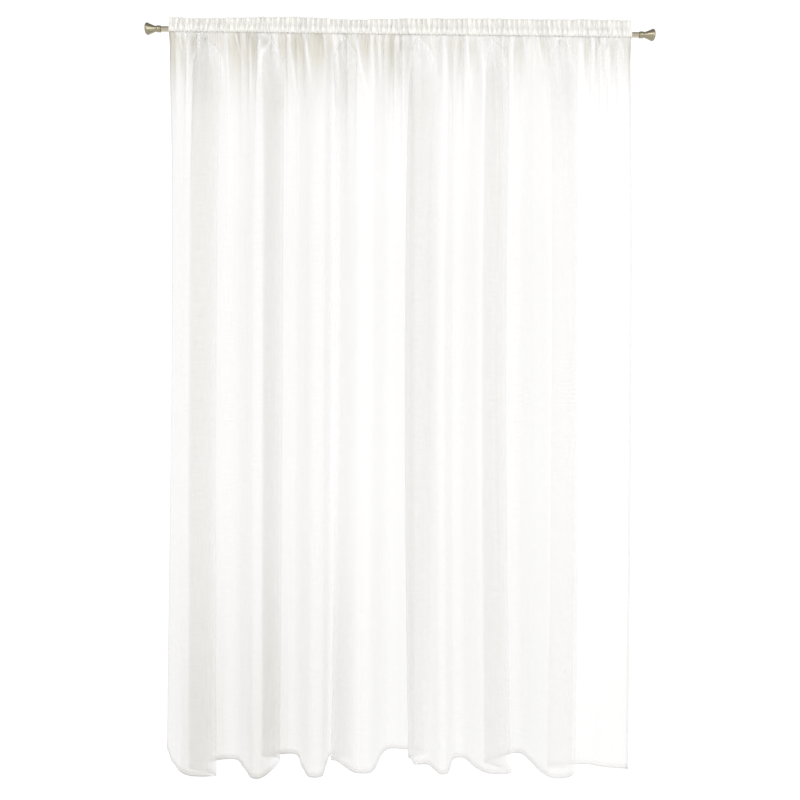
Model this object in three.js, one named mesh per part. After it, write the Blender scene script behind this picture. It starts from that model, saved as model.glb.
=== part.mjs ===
// A sheer voile curtain gathered on a slim metal rod with flared finials.
// Millimetres, +Z up, +X to the viewer's right, -Y towards the viewer.
// The origin is on the rod's axis, at the middle of its length.

import * as THREE from "three";

// Curtain sizes
const curtainWidth = 1550;
const curtainDrop = 2500;
const headerAboveAxis = 43;
const seamBelowAxis = 16;
const sheetThickness = 1.2;
const seamThickness = 2.4;
const pieceGap = 0.3;

// Rod pocket: half the height of its upright part, its inside above and below, the ruffle's foot
const pocketHalf = 6.8;
const pocketInsideTop = 10.4;
const pocketInsideBottom = -11.2;
const pocketClearance = 0.5;
const ruffleFoot = 16;

// How much of the gathers' sway reaches the ruffle's top edge, and how uneven the edge is
const edgeLean = 0.55;
const edgeUneven = 1.1;

// Gathers of the heading, each one a ridge and a valley
const gatherCount = 92;
const gatherHeight = 7.5;
const gatherFade = 60;
const gatherShift = 0.28;
const gatherUneven = 0.22;

// Pleats below the heading, where the gathers run together
const pleatCount = 31;
const pleatHeight = 15;
const pleatPeak = 70;

// How fast the deep folds form below the heading
const foldSideFade = 75;
const foldDepthFade = 215;
const lapQuietFade = 28;

// Rod and finials
const rodLength = 1606;
const rodRadius = 9;
const rodWall = 1;
const roundSides = 24;
const finialLength = 47;
const finialPeg = 20;
const collarRadius = 11.7;
const neckRadius = 9.4;
const rimRadius = 19.7;
const capRadius = 18.5;
const capDome = 6.5;
const capPinRadius = 4;
const capPinLength = 7;

const hemLevel = headerAboveAxis - curtainDrop;
const panelTop = -seamBelowAxis - pieceGap;

// The folds at the hem, seen from above, from the left edge to the right edge.
// x and y are the middle of each turn, flat is half its straight length along x,
// and drift is how much further right the turn lies at half height.
const foldTurns = [
  { turn: "left edge", x: -798, y: 134, flat: 0, drift: 6 },
  { turn: "left side", x: -750, y: 2, flat: 0, drift: 0 },
  { turn: "front 1", x: -646, y: -87, flat: 33, drift: -6 },
  { turn: "lap 1", x: -691, y: -30, flat: 0, drift: -6 },
  { turn: "back 1", x: -588, y: 33, flat: 26, drift: 0 },
  { turn: "front 2", x: -457, y: -108, flat: 12, drift: -4 },
  { turn: "under 2", x: -401, y: 44, flat: 0, drift: 4 },
  { turn: "lap 2", x: -463, y: 62, flat: 0, drift: -4 },
  { turn: "back 2", x: -375, y: 80, flat: 20, drift: 0 },
  { turn: "front 3", x: -270, y: -98, flat: 18, drift: 4 },
  { turn: "side 3", x: -240, y: -12, flat: 0, drift: 6 },
  { turn: "back 3", x: -205, y: 74, flat: 22, drift: 6 },
  { turn: "under 3", x: -155, y: 60, flat: 0, drift: 8 },
  { turn: "lap 3", x: -226, y: 34, flat: 0, drift: 7 },
  { turn: "front 4", x: -116, y: -70, flat: 22, drift: 4 },
  { turn: "back 4", x: -12, y: 120, flat: 22, drift: -6 },
  { turn: "under 4", x: 106, y: 92, flat: 0, drift: 16 },
  { turn: "lap 4", x: 36, y: 50, flat: 0, drift: -18 },
  { turn: "step 5", x: 78, y: -6, flat: 20, drift: -8 },
  { turn: "front 5", x: 148, y: -82, flat: 10, drift: -12 },
  { turn: "back 5", x: 208, y: 44, flat: 14, drift: -10 },
  { turn: "front 6", x: 329, y: -72, flat: 42, drift: -22 },
  { turn: "lap 6", x: 292, y: 4, flat: 0, drift: -14 },
  { turn: "back 6", x: 408, y: 78, flat: 18, drift: -12 },
  { turn: "front 7", x: 522, y: -106, flat: 30, drift: 6 },
  { turn: "side 7", x: 586, y: -48, flat: 0, drift: 6 },
  { turn: "lap 7", x: 497, y: -25, flat: 0, drift: 10 },
  { turn: "back 7", x: 618, y: -8, flat: 22, drift: 4 },
  { turn: "right side", x: 692, y: -32, flat: 0, drift: 4 },
  { turn: "right edge", x: 763, y: -44, flat: 0, drift: 6 },
];

// Where the cloth is gathered closer or wider: x along the heading from which each share u
// of the cloth's width hangs
const headingSpread = [
  { u: 0, x: -curtainWidth / 2 },
  { u: 0.082, x: -690 },
  { u: 0.107, x: -668 },
  { u: 0.236, x: -456 },
  { u: 0.258, x: -440 },
  { u: 0.412, x: -212 },
  { u: 0.433, x: -196 },
  { u: 0.572, x: 40 },
  { u: 0.601, x: 56 },
  { u: 0.753, x: 296 },
  { u: 0.78, x: 312 },
  { u: 0.907, x: 524 },
  { u: 0.932, x: 540 },
  { u: 1, x: curtainWidth / 2 },
];

// The ruffle's top edge: how far it stands above its usual height at each x
const topEdge = [
  { x: -775, up: -4 },
  { x: -667, up: -7 },
  { x: -433, up: 1 },
  { x: -333, up: 2 },
  { x: -170, up: -5 },
  { x: 35, up: 2 },
  { x: 269, up: 4 },
  { x: 503, up: 4 },
  { x: 603, up: 6 },
  { x: 775, up: 4 },
];

// Stretches of the width where three layers lie behind one another: no pleats there
const lapStretches = [
  { from: -700, to: -605 },
  { from: -475, to: -385 },
  { from: -235, to: -140 },
  { from: 15, to: 135 },
  { from: 280, to: 380 },
  { from: 490, to: 600 },
];

// Rows of the panel: distance below its top edge, and its columns, where 0 follows the gathers
const panelRows = [
  { below: 0, columns: 0 },
  { below: 30, columns: 0 },
  { below: 68, columns: 0 },
  { below: 115, columns: 190 },
  { below: 180, columns: 160 },
  { below: 290, columns: 150 },
  { below: 470, columns: 150 },
  { below: 800, columns: 150 },
  { below: 1300, columns: 150 },
  { below: 1850, columns: 150 },
  { below: panelTop - hemLevel, columns: 150 },
];

const voile = new THREE.MeshStandardMaterial({
  color: 0xf4f2ec,
  roughness: 0.85,
  metalness: 0,
  transparent: true,
  opacity: 0.6,
  side: THREE.DoubleSide,
});
const headingCloth = new THREE.MeshStandardMaterial({ color: 0xf3f1ea, roughness: 0.85, metalness: 0 });
const satinNickel = new THREE.MeshStandardMaterial({ color: 0xb0a488, roughness: 0.32, metalness: 1 });

// A fixed unevenness from -1 to 1 for a numbered gather or fold
function uneven(index, salt) {
  const s = Math.sin(index * 127.1 + salt * 311.7) * 43758.5453;
  return 2 * (s - Math.floor(s)) - 1;
}

function smooth(low, high, value) {
  return THREE.MathUtils.smoothstep(value, low, high);
}

// Reads a table as straight lines between its rows
function readOff(table, from, to, place) {
  const last = table.length - 1;
  let i = 1;
  while (i < last && table[i][from] < place) i += 1;
  const [before, after] = [table[i - 1], table[i]];
  const part = (place - before[from]) / (after[from] - before[from]);
  return before[to] + (after[to] - before[to]) * part;
}

// Columns along the gathered heading: x is the place there, u the share of the cloth's width
// and wave is -1 at a ridge
function gatherColumns() {
  const columns = [];
  const last = 2 * gatherCount;
  for (let i = 0; i <= last; i++) {
    const shift = i === 0 || i === last ? 0 : gatherShift * uneven(i, 1);
    const side = i % 2 === 0 ? 1 : -1;
    const x = ((i + shift) / last - 0.5) * curtainWidth;
    const u = readOff(headingSpread, "x", "u", x);
    columns.push({ x, u, wave: side * (1 + gatherUneven * uneven(i, 2)) });
  }
  return columns;
}

function evenColumns(count) {
  return Array.from({ length: count + 1 }, (_, i) => {
    const u = i / count;
    return { x: readOff(headingSpread, "u", "x", u), u, wave: 0 };
  });
}

// The deep folds as one smooth line from above; drifted is 1 at half height and 0 at the hem
function foldLine(drifted) {
  const points = [];
  for (const { x, y, flat, drift } of foldTurns) {
    const middle = x + drift * drifted;
    if (flat > 0) points.push(new THREE.Vector3(middle - flat, y, 0));
    points.push(new THREE.Vector3(middle + flat, y, 0));
  }
  const line = new THREE.CatmullRomCurve3(points, false, "centripetal");
  line.arcLengthDivisions = 1500;
  return line;
}

// 1 away from the laps and near 0 inside them
function pleatRoom(x) {
  const edge = 18;
  let room = 1;
  for (const { from, to } of lapStretches) {
    room *= 1 - smooth(from - edge, from, x) * (1 - smooth(to, to + edge, x));
  }
  return Math.max(room, 0.04);
}

// The irregular pleats between the gathers and the folds
function pleatWave(u) {
  const turn = 2 * Math.PI;
  const wander = 0.3 * Math.sin(turn * 4.3 * u + 1.1) + 0.2 * Math.sin(turn * 9.1 * u);
  return Math.sin(turn * (pleatCount * u + wander)) * (1 + 0.3 * Math.sin(turn * 6.7 * u + 2));
}

// The cloth's line from above at one level below the panel's top edge
function clothLine(columns, below) {
  const level = below / (panelTop - hemLevel);
  const line = foldLine(Math.sin(Math.PI * Math.min(1, 0.15 + 0.85 * level)));
  const side = 1 - Math.exp(-Math.pow(below / foldSideFade, 1.5));
  const deep = 1 - Math.exp(-below / foldDepthFade);
  const quiet = 1 - Math.exp(-below / lapQuietFade);
  const gathers = gatherHeight * Math.exp(-below / gatherFade);
  const pleats = pleatHeight * (below / pleatPeak) * Math.exp(1 - below / pleatPeak);
  const middle = columns.map(({ x, u }) => {
    const fold = line.getPointAt(u);
    return new THREE.Vector2(x + (fold.x - x) * side, fold.y * deep);
  });
  const normals = lineNormals(middle);
  return middle.map((point, i) => {
    const { u, wave } = columns[i];
    const room = 1 + (pleatRoom(line.getPointAt(u).x) - 1) * quiet;
    const out = (gathers * wave + pleats * pleatWave(u)) * room;
    return point.clone().addScaledVector(normals[i], out);
  });
}

// Unit normals of a line seen from above, pointing away from the viewer on a straight curtain
function lineNormals(points) {
  return points.map((_, i) => {
    const before = points[Math.max(i - 1, 0)];
    const after = points[Math.min(i + 1, points.length - 1)];
    const along = after.clone().sub(before).normalize();
    return new THREE.Vector2(-along.y, along.x);
  });
}

// Offsets that keep a wall's thickness round a zigzag, capped at sharp ridges
function wallOffsets(points) {
  const normals = lineNormals(points);
  return points.map((point, i) => {
    if (i === 0 || i === points.length - 1) return normals[i];
    const along = points[i + 1].clone().sub(point).normalize();
    const stretch = 1 / Math.max(normals[i].dot(new THREE.Vector2(-along.y, along.x)), 0.55);
    return normals[i].clone().multiplyScalar(stretch);
  });
}

// Collects vertices and faces of one closed surface
class Surface {
  constructor() {
    this.positions = [];
    this.faces = [];
  }

  vertex(x, y, z) {
    this.positions.push(x, y, z);
    return this.positions.length / 3 - 1;
  }

  triangle(a, b, c) {
    this.faces.push(a, b, c);
  }

  quad(a, b, c, d) {
    this.triangle(a, b, c);
    this.triangle(a, c, d);
  }

  // Joins two rows of { id, u } that run the same way, also where one row has more columns.
  // The back of a sheet is split like its front but faces the other way.
  strip(upper, lower, facing = 1) {
    const add = (a, b, c) => (facing > 0 ? this.triangle(a, b, c) : this.triangle(a, c, b));
    let i = 0;
    let j = 0;
    while (i < upper.length - 1 || j < lower.length - 1) {
      const upperNext = i < upper.length - 1 ? upper[i + 1].u : Infinity;
      const lowerNext = j < lower.length - 1 ? lower[j + 1].u : Infinity;
      if (lowerNext <= upperNext) {
        add(upper[i].id, lower[j].id, lower[j + 1].id);
        j += 1;
      } else {
        add(upper[i].id, lower[j].id, upper[i + 1].id);
        i += 1;
      }
    }
  }

  geometry() {
    const geometry = new THREE.BufferGeometry();
    geometry.setAttribute("position", new THREE.Float32BufferAttribute(this.positions, 3));
    geometry.setIndex(this.faces);
    geometry.computeVertexNormals();
    return geometry;
  }
}

// One row of the sheet: its front and back vertices at a level
function sheetRow(surface, columns, points, level) {
  const offsets = wallOffsets(points);
  const half = sheetThickness / 2;
  const side = (away) =>
    points.map((point, i) => {
      const at = point.clone().addScaledVector(offsets[i], away * half);
      return { id: surface.vertex(at.x, at.y, level), u: columns[i].u };
    });
  return { front: side(-1), back: side(1) };
}

// The whole hanging cloth below the heading, one closed sheet with its hems
function panelGeometry(gathers) {
  const surface = new Surface();
  const rows = panelRows.map(({ below, columns }) => {
    const across = columns === 0 ? gathers : evenColumns(columns);
    return sheetRow(surface, across, clothLine(across, below), panelTop - below);
  });
  for (let i = 0; i < rows.length - 1; i++) {
    const [upper, lower] = [rows[i], rows[i + 1]];
    surface.strip(upper.front, lower.front);
    surface.strip(upper.back, lower.back, -1);
    surface.quad(upper.front[0].id, upper.back[0].id, lower.back[0].id, lower.front[0].id);
    const [front, back] = [upper.front.at(-1), upper.back.at(-1)];
    surface.quad(back.id, front.id, lower.front.at(-1).id, lower.back.at(-1).id);
  }
  const [top, hem] = [rows[0], rows.at(-1)];
  surface.strip(top.back, top.front);
  surface.strip(hem.front, hem.back);
  return surface.geometry();
}

// Height of the ruffled top edge above the rod's axis
function headerEdge(column, index) {
  return headerAboveAxis + readOff(topEdge, "x", "up", column.x) + edgeUneven * uneven(index, 3);
}

// How far the middle of the pocket's front or back stands from the rod's axis
const pocketReach = rodRadius + pocketClearance + gatherHeight * (1 + gatherUneven);

// Outline of the rod pocket and the ruffle above it, as (y, z) points, at one gather column
function sleeveOutline(column, index) {
  const sway = gatherHeight * column.wave;
  const lean = edgeLean * sway;
  const seam = seamThickness / 2;
  const reach = pocketReach + sheetThickness;
  const top = headerEdge(column, index);
  return [
    [sway - seam, -seamBelowAxis],
    [sway - reach, -pocketHalf],
    [sway - reach, pocketHalf],
    [sway - seam, ruffleFoot],
    [lean - seam, top],
    [lean + seam, top],
    [sway + seam, ruffleFoot],
    [sway + reach, pocketHalf],
    [sway + reach, -pocketHalf],
    [sway + seam, -seamBelowAxis],
  ];
}

// Outline of the pocket's inside, which clears the rod
function pocketOutline(column) {
  const sway = gatherHeight * column.wave;
  const middle = 0.2 * sway;
  return [
    [middle, pocketInsideBottom],
    [sway - pocketReach, -pocketHalf],
    [sway - pocketReach, pocketHalf],
    [middle, pocketInsideTop],
    [sway + pocketReach, pocketHalf],
    [sway + pocketReach, -pocketHalf],
  ];
}

// The gathered heading: a rod pocket with a ruffle standing above it, open at both ends
function sleeveGeometry(gathers) {
  const surface = new Surface();
  const ring = (outline, x) => outline.map(([y, z]) => surface.vertex(x, y, z));
  const outer = gathers.map((c, i) => ring(sleeveOutline(c, i), c.x));
  const inner = gathers.map((c) => ring(pocketOutline(c), c.x));
  for (let i = 0; i < gathers.length - 1; i++) {
    joinRings(surface, outer[i], outer[i + 1]);
    joinRings(surface, inner[i + 1], inner[i]);
  }
  closeEnd(surface, gathers[0], 0, outer[0], inner[0], -1);
  closeEnd(surface, gathers.at(-1), gathers.length - 1, outer.at(-1), inner.at(-1), 1);
  return surface.geometry();
}

function joinRings(surface, ringA, ringB) {
  for (let i = 0; i < ringA.length; i++) {
    const next = (i + 1) % ringA.length;
    surface.quad(ringA[i], ringB[i], ringB[next], ringA[next]);
  }
}

// The cloth's own cut edge round the mouth of the pocket
function closeEnd(surface, column, index, outer, inner, facing) {
  const flat = (outline) => outline.map(([y, z]) => new THREE.Vector2(y, z));
  const contour = flat(sleeveOutline(column, index));
  const hole = flat(pocketOutline(column));
  const ids = [...outer, ...inner];
  for (const [a, b, c] of THREE.ShapeUtils.triangulateShape(contour, [hole])) {
    if (facing > 0) surface.triangle(ids[a], ids[b], ids[c]);
    else surface.triangle(ids[a], ids[c], ids[b]);
  }
}

// A turned piece from [radius, distance out along the rod] points, laid along X
function turned(profile, side) {
  const points = profile.map(([radius, out]) => new THREE.Vector2(radius, out));
  const geometry = new THREE.LatheGeometry(points, roundSides);
  geometry.rotateZ(side > 0 ? -Math.PI / 2 : Math.PI / 2);
  return geometry;
}

function rodProfile() {
  const half = rodLength / 2;
  const bore = rodRadius - rodWall;
  return [
    [bore, -half],
    [rodRadius, -half],
    [rodRadius, half],
    [bore, half],
    [bore, -half],
  ];
}

// Peg in the tube, round collar, waisted neck and the flared trumpet with its rim
function finialProfile() {
  const peg = rodRadius - rodWall - pieceGap;
  const hole = capPinRadius + pieceGap;
  return [
    [0, -finialPeg],
    [peg - 0.6, -finialPeg],
    [peg, -finialPeg + 1],
    [peg, pieceGap],
    [collarRadius - 1.6, pieceGap],
    [collarRadius, 2.6],
    [collarRadius, 9],
    [collarRadius - 1, 11.5],
    [neckRadius, 13],
    [neckRadius + 0.2, 16.5],
    [neckRadius + 2.6, 25],
    [neckRadius + 6.2, 34.5],
    [rimRadius - 0.9, 42.4],
    [rimRadius, 43.4],
    [rimRadius, finialLength - 0.8],
    [rimRadius - 0.8, finialLength],
    [hole, finialLength],
    [hole, finialLength - capPinLength - pieceGap],
    [0, finialLength - capPinLength - pieceGap],
  ];
}

// Domed button that closes the trumpet, on a short pin
function capProfile() {
  const seat = finialLength + pieceGap;
  const profile = [
    [0, seat - capPinLength],
    [capPinRadius, seat - capPinLength],
    [capPinRadius, seat],
    [capRadius - 0.5, seat],
    [capRadius, seat + 0.8],
  ];
  const steps = 4;
  for (let i = 1; i <= steps; i++) {
    const angle = (Math.PI / 2) * (i / steps);
    const radius = i === steps ? 0 : capRadius * Math.cos(angle);
    profile.push([radius, seat + 0.8 + (capDome - 0.8) * Math.sin(angle)]);
  }
  return profile;
}

function piece(name, geometry, material, x = 0) {
  const mesh = new THREE.Mesh(geometry, material);
  mesh.name = name;
  mesh.position.x = x;
  return mesh;
}

function curtain() {
  const gathers = gatherColumns();
  const group = new THREE.Group();
  group.add(piece("voile_panel", panelGeometry(gathers), voile));
  group.add(piece("heading_sleeve", sleeveGeometry(gathers), headingCloth));
  return group;
}

function rod() {
  const group = new THREE.Group();
  group.add(piece("rod_tube", turned(rodProfile(), 1), satinNickel));
  for (const [label, side] of [["left", -1], ["right", 1]]) {
    const end = (side * rodLength) / 2;
    group.add(piece(`finial_${label}`, turned(finialProfile(), side), satinNickel, end));
    group.add(piece(`end_cap_${label}`, turned(capProfile(), side), satinNickel, end));
  }
  return group;
}

const part = new THREE.Group();
part.add(curtain());
part.add(rod());

export default part;
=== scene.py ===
# A sheer voile curtain gathered on a slim metal rod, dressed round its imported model.
import math

import bpy
import numpy as np
from mathutils import Matrix, Vector


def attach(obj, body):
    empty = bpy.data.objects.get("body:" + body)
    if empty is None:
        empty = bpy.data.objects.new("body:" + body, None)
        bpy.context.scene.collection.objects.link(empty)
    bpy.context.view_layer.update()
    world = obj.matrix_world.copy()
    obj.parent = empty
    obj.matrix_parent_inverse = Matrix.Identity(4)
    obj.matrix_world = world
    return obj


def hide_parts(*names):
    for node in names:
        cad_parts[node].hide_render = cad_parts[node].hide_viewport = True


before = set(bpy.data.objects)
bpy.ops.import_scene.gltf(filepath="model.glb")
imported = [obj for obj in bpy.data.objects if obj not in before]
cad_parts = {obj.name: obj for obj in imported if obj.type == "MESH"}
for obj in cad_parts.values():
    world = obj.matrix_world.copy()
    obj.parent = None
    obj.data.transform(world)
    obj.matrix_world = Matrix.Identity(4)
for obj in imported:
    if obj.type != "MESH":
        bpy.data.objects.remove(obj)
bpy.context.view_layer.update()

MM = 0.001
TURN = 2 * math.pi

# Sizes that the part's source has too, in millimetres
CURTAIN_WIDTH = 1550
CURTAIN_DROP = 2500
HEADER_ABOVE_AXIS = 43
HEM_LEVEL = HEADER_ABOVE_AXIS - CURTAIN_DROP
PIECE_GAP = 0.3
EDGE_UNEVEN = 1.1
GATHER_COUNT = 92
GATHER_FADE = 60
GATHER_UNEVEN = 0.22
FOLD_DEPTH_FADE = 215
ROD_LENGTH = 1606
ROD_RADIUS = 9
FINIAL_LENGTH = 47
NECK_RADIUS = 9.4
RIM_RADIUS = 19.7
CAP_RADIUS = 18.5
CAP_DOME = 6.5

# Values that differ in the dressed cloth: a higher seam, finer gathers, other pleats, quicker folds
SEAM_BELOW_AXIS = 9.4
PANEL_TOP = -SEAM_BELOW_AXIS - PIECE_GAP
GATHER_HEIGHT = 4.7
GATHER_SHIFT = 0.2
PLEAT_COUNT = 34
PLEAT_HEIGHT = 10
FOLD_SIDE_FADE = 42

# Details that only the dressed curtain has, in millimetres, apart from counts and shares
FLAT_WIDTH = 3800
GATHER_CURL = 1.5
GATHER_LEAN = 0.4
FINE_HEIGHT = 2.35
FINE_COUNT = 262
FINE_FADE = 30
FINE_BACK_SHIFT = 3.0
PLEAT_START = 22
PLEAT_FADE = 240
PLEAT_CURL = 0.2
PLEAT_LEAN = 0.5
SEAM_FORWARD = 9
SEAM_FORWARD_FADE = 80
RIPPLE_HEIGHT = 2.2
RIDGE_HEIGHT = 5
RIDGE_LEAN_REACH = 210
LAP_EDGE = 18
SIDE_HEM = 12
BOTTOM_HEM = 15
HEM_LAYER_GAP = 0.7
BOTTOM_HEM_GAPS = 2.2
STITCH_PITCH = 3.2
STITCH_LENGTH = 2.3
STITCH_THICKNESS = 0.36
STITCH_PROUD = 0.25
ROD_END_ROUNDING = 0.3
COLUMNS = 1000

# Where a fold turns, the cloth is made thinner and so lighter, painted light over the shade of the turn:
# over how many millimetres, and down to what share
RIGHT_TURN = (36, 0.25)
LEFT_TURN = (7, 0.6)

# Where the cloth is gathered it lies closer, which also darkens it as painted shade: by how much at the
# heading, how far down that fades, and the share of it that a ridge takes away, a painted highlight
GATHERED_CLOSENESS = 4.2
GATHERED_FADE = 115
RIDGE_HIGHLIGHT = 0.78

# Spacing of the voile's yarns across and down it in millimetres, a little coarser than real, and
# how much the weave and the thicker yarns in it change how dense the cloth is
WARP_PITCH = 0.45
WEFT_PITCH = 0.5
WEAVE_SHARE = 0.07
SLUB_SHARE = 0.12

# Thicker yarns as long faint streaks: noise scales across and down the cloth, for each direction
SLUB_SCALES = ((0.9, 0.012, 1), (0.02, 0.7, 1))

# How closely gathered cloth has to lie before its painted shade begins to show, and where it is full
SHADE_START = 1.3
SHADE_FULL = 4.7

# Brushing on the metal: noise scales per metre along the rod and round it
BRUSHING_SCALE = (900, 60, 60)

# The backdrop in metres, with the bright share of its white and how bright that is
FLOOR_LEVEL = -2.62
FLOOR_FRONT = -6.0
WALL_PLACE = 1.9
WALL_TOP = 2.6
WALL_BEND = 1.0
WALL_BEND_STEPS = 16
HALF_WIDTH = 6.0
BRIGHT_SHARE = 0.7
BRIGHTNESS = 1.165

# The lamps, with places and sizes in metres and power in watts
LAMPS = [
    {"name": "key", "place": (-0.9, -4.2, 0.7), "target": (0, 0, -1.0), "size": (4.6, 0.8), "power": 72},
    {"name": "fill", "place": (2.2, -4.2, -0.6), "target": (0, 0, -1.2), "size": (1.4, 2.4), "power": 44},
]

# The camera's place in metres, its turn to the right and its roll in degrees, its lens in millimetres
CAMERA_PLACE = (-0.048, -2.85, -1.236)
CAMERA_YAW = 1.0
CAMERA_ROLL = 0.28
CAMERA_LENS = 38.2
CAMERA_SENSOR = 36

# The folds at the hem, seen from above: middle of each turn, half its straight length along x,
# how much further right it lies at half height, and how closely the cloth lies there
FOLD_TURNS = [
    {"turn": "left edge", "x": -803, "y": 134, "flat": 0, "drift": 6, "dense": 1.0},
    {"turn": "left side", "x": -750, "y": 2, "flat": 0, "drift": 0, "dense": 1.0},
    {"turn": "front 1", "x": -634, "y": -87, "flat": 45, "drift": -6, "dense": 1.0},
    {"turn": "lap 1 in", "x": -676, "y": -40, "flat": 0, "drift": -6, "dense": 0.95},
    {"turn": "lap 1", "x": -691, "y": -32, "flat": 0, "drift": -6, "dense": 0.95},
    {"turn": "lap 1 out", "x": -676, "y": -22, "flat": 0, "drift": -6, "dense": 1.0},
    {"turn": "back 1", "x": -576, "y": 33, "flat": 30, "drift": 0, "dense": 1.2},
    {"turn": "front 2", "x": -457, "y": -108, "flat": 12, "drift": -4, "dense": 1.15},
    {"turn": "under 2", "x": -401, "y": 44, "flat": 0, "drift": 4, "dense": 1.0},
    {"turn": "lap 2 in", "x": -448, "y": 58, "flat": 0, "drift": -4, "dense": 0.95},
    {"turn": "lap 2", "x": -463, "y": 66, "flat": 0, "drift": -4, "dense": 0.95},
    {"turn": "lap 2 out", "x": -446, "y": 74, "flat": 0, "drift": -4, "dense": 1.05},
    {"turn": "back 2", "x": -375, "y": 80, "flat": 20, "drift": 0, "dense": 1.1},
    {"turn": "front 3", "x": -270, "y": -98, "flat": 18, "drift": 4, "dense": 1.15},
    {"turn": "side 3", "x": -240, "y": -12, "flat": 0, "drift": 6, "dense": 0.9},
    {"turn": "back 3", "x": -205, "y": 74, "flat": 22, "drift": 6, "dense": 0.35},
    {"turn": "under 3", "x": -155, "y": 60, "flat": 0, "drift": 8, "dense": 0.15},
    {"turn": "lap 3 in", "x": -211, "y": 40, "flat": 0, "drift": 7, "dense": 0.15},
    {"turn": "lap 3", "x": -226, "y": 32, "flat": 0, "drift": 7, "dense": 0.25},
    {"turn": "lap 3 out", "x": -209, "y": 24, "flat": 0, "drift": 7, "dense": 0.6},
    {"turn": "front 4", "x": -116, "y": -70, "flat": 22, "drift": 4, "dense": 0.85},
    {"turn": "back 4", "x": -12, "y": 120, "flat": 22, "drift": -6, "dense": 0.85},
    {"turn": "under 4", "x": 106, "y": 92, "flat": 0, "drift": 16, "dense": 0.7},
    {"turn": "lap 4 in", "x": 51, "y": 58, "flat": 0, "drift": -18, "dense": 0.8},
    {"turn": "lap 4", "x": 36, "y": 50, "flat": 0, "drift": -18, "dense": 0.8},
    {"turn": "lap 4 out", "x": 46, "y": 36, "flat": 0, "drift": -18, "dense": 0.85},
    {"turn": "step 5", "x": 78, "y": -6, "flat": 20, "drift": -8, "dense": 0.95},
    {"turn": "front 5", "x": 148, "y": -82, "flat": 10, "drift": -12, "dense": 0.95},
    {"turn": "back 5", "x": 208, "y": 44, "flat": 14, "drift": -10, "dense": 0.95},
    {"turn": "front 6", "x": 329, "y": -72, "flat": 42, "drift": -22, "dense": 0.85},
    {"turn": "lap 6 in", "x": 307, "y": -6, "flat": 0, "drift": -14, "dense": 0.8},
    {"turn": "lap 6", "x": 292, "y": 2, "flat": 0, "drift": -14, "dense": 0.8},
    {"turn": "lap 6 out", "x": 308, "y": 12, "flat": 0, "drift": -14, "dense": 0.85},
    {"turn": "back 6", "x": 408, "y": 78, "flat": 18, "drift": -12, "dense": 1.05},
    {"turn": "front 7", "x": 522, "y": -106, "flat": 30, "drift": 6, "dense": 0.75},
    {"turn": "side 7", "x": 586, "y": -48, "flat": 0, "drift": 6, "dense": 0.35},
    {"turn": "lap 7 in", "x": 512, "y": -34, "flat": 0, "drift": 10, "dense": 0.3},
    {"turn": "lap 7", "x": 497, "y": -26, "flat": 0, "drift": 10, "dense": 0.3},
    {"turn": "lap 7 out", "x": 513, "y": -20, "flat": 0, "drift": 10, "dense": 0.4},
    {"turn": "back 7", "x": 618, "y": -8, "flat": 22, "drift": 4, "dense": 0.6},
    {"turn": "right side", "x": 692, "y": -32, "flat": 0, "drift": 4, "dense": 0.6},
    {"turn": "right edge", "x": 763, "y": -44, "flat": 0, "drift": 6, "dense": 0.8},
]

# Where the cloth is gathered closer or wider: pairs of a share of the cloth's width and the x
# along the heading from which it hangs
HEADING_SPREAD = [
    (0, -775), (0.082, -690), (0.107, -668), (0.236, -456), (0.258, -440),
    (0.412, -212), (0.433, -196), (0.572, 40), (0.601, 56), (0.753, 296),
    (0.78, 312), (0.907, 524), (0.932, 540), (1, 775),
]

# The ruffle's top edge: pairs of x and how far the edge stands there above its usual height
TOP_EDGE = [
    (-775, -4), (-667, -7), (-433, 1), (-333, 2), (-170, -5),
    (35, 2), (269, 4), (503, 4), (603, 6), (775, 4),
]

# Ridges of the gathered cloth, brought forward and lightened with a painted highlight: x at the heading,
# how far right they lean, how far down they reach, and half their width
RIDGES = [
    (-740, 15, 80, 4), (-721, 20, 170, 9), (-676, 10, 70, 4), (-646, 27, 170, 5), (-584, 5, 760, 5),
    (-554, 13, 70, 4), (-527, 10, 65, 4), (-475, 27, 225, 9), (-422, 15, 150, 5), (-377, 23, 700, 5),
    (-324, 24, 170, 6), (-258, 11, 95, 4), (-224, 17, 170, 7), (-202, 15, 95, 4), (-157, 43, 600, 6),
    (-100, 12, 210, 7), (-73, 7, 190, 9), (-13, 9, 72, 4), (57, 15, 210, 5), (99, 15, 70, 4),
    (144, 8, 760, 8), (217, 19, 180, 5), (262, 16, 230, 9), (300, 19, 170, 5), (372, 12, 760, 6),
    (410, 11, 70, 4), (456, 15, 110, 5), (516, 15, 230, 9), (561, 10, 95, 4), (600, 23, 240, 7),
    (640, 14, 120, 6), (683, 12, 150, 6), (728, 20, 70, 4),
]

# Stretches of the width where three layers lie behind one another
LAP_STRETCHES = [(-700, -592), (-475, -385), (-235, -140), (15, 135), (280, 380), (490, 600)]

# Levels of the cloth's rows below its top edge: how far each zone reaches and its row spacing
ROW_ZONES = [
    {"to": 200, "step": 6},
    {"to": 600, "step": 20},
    {"to": 2400, "step": 60},
]

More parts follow.
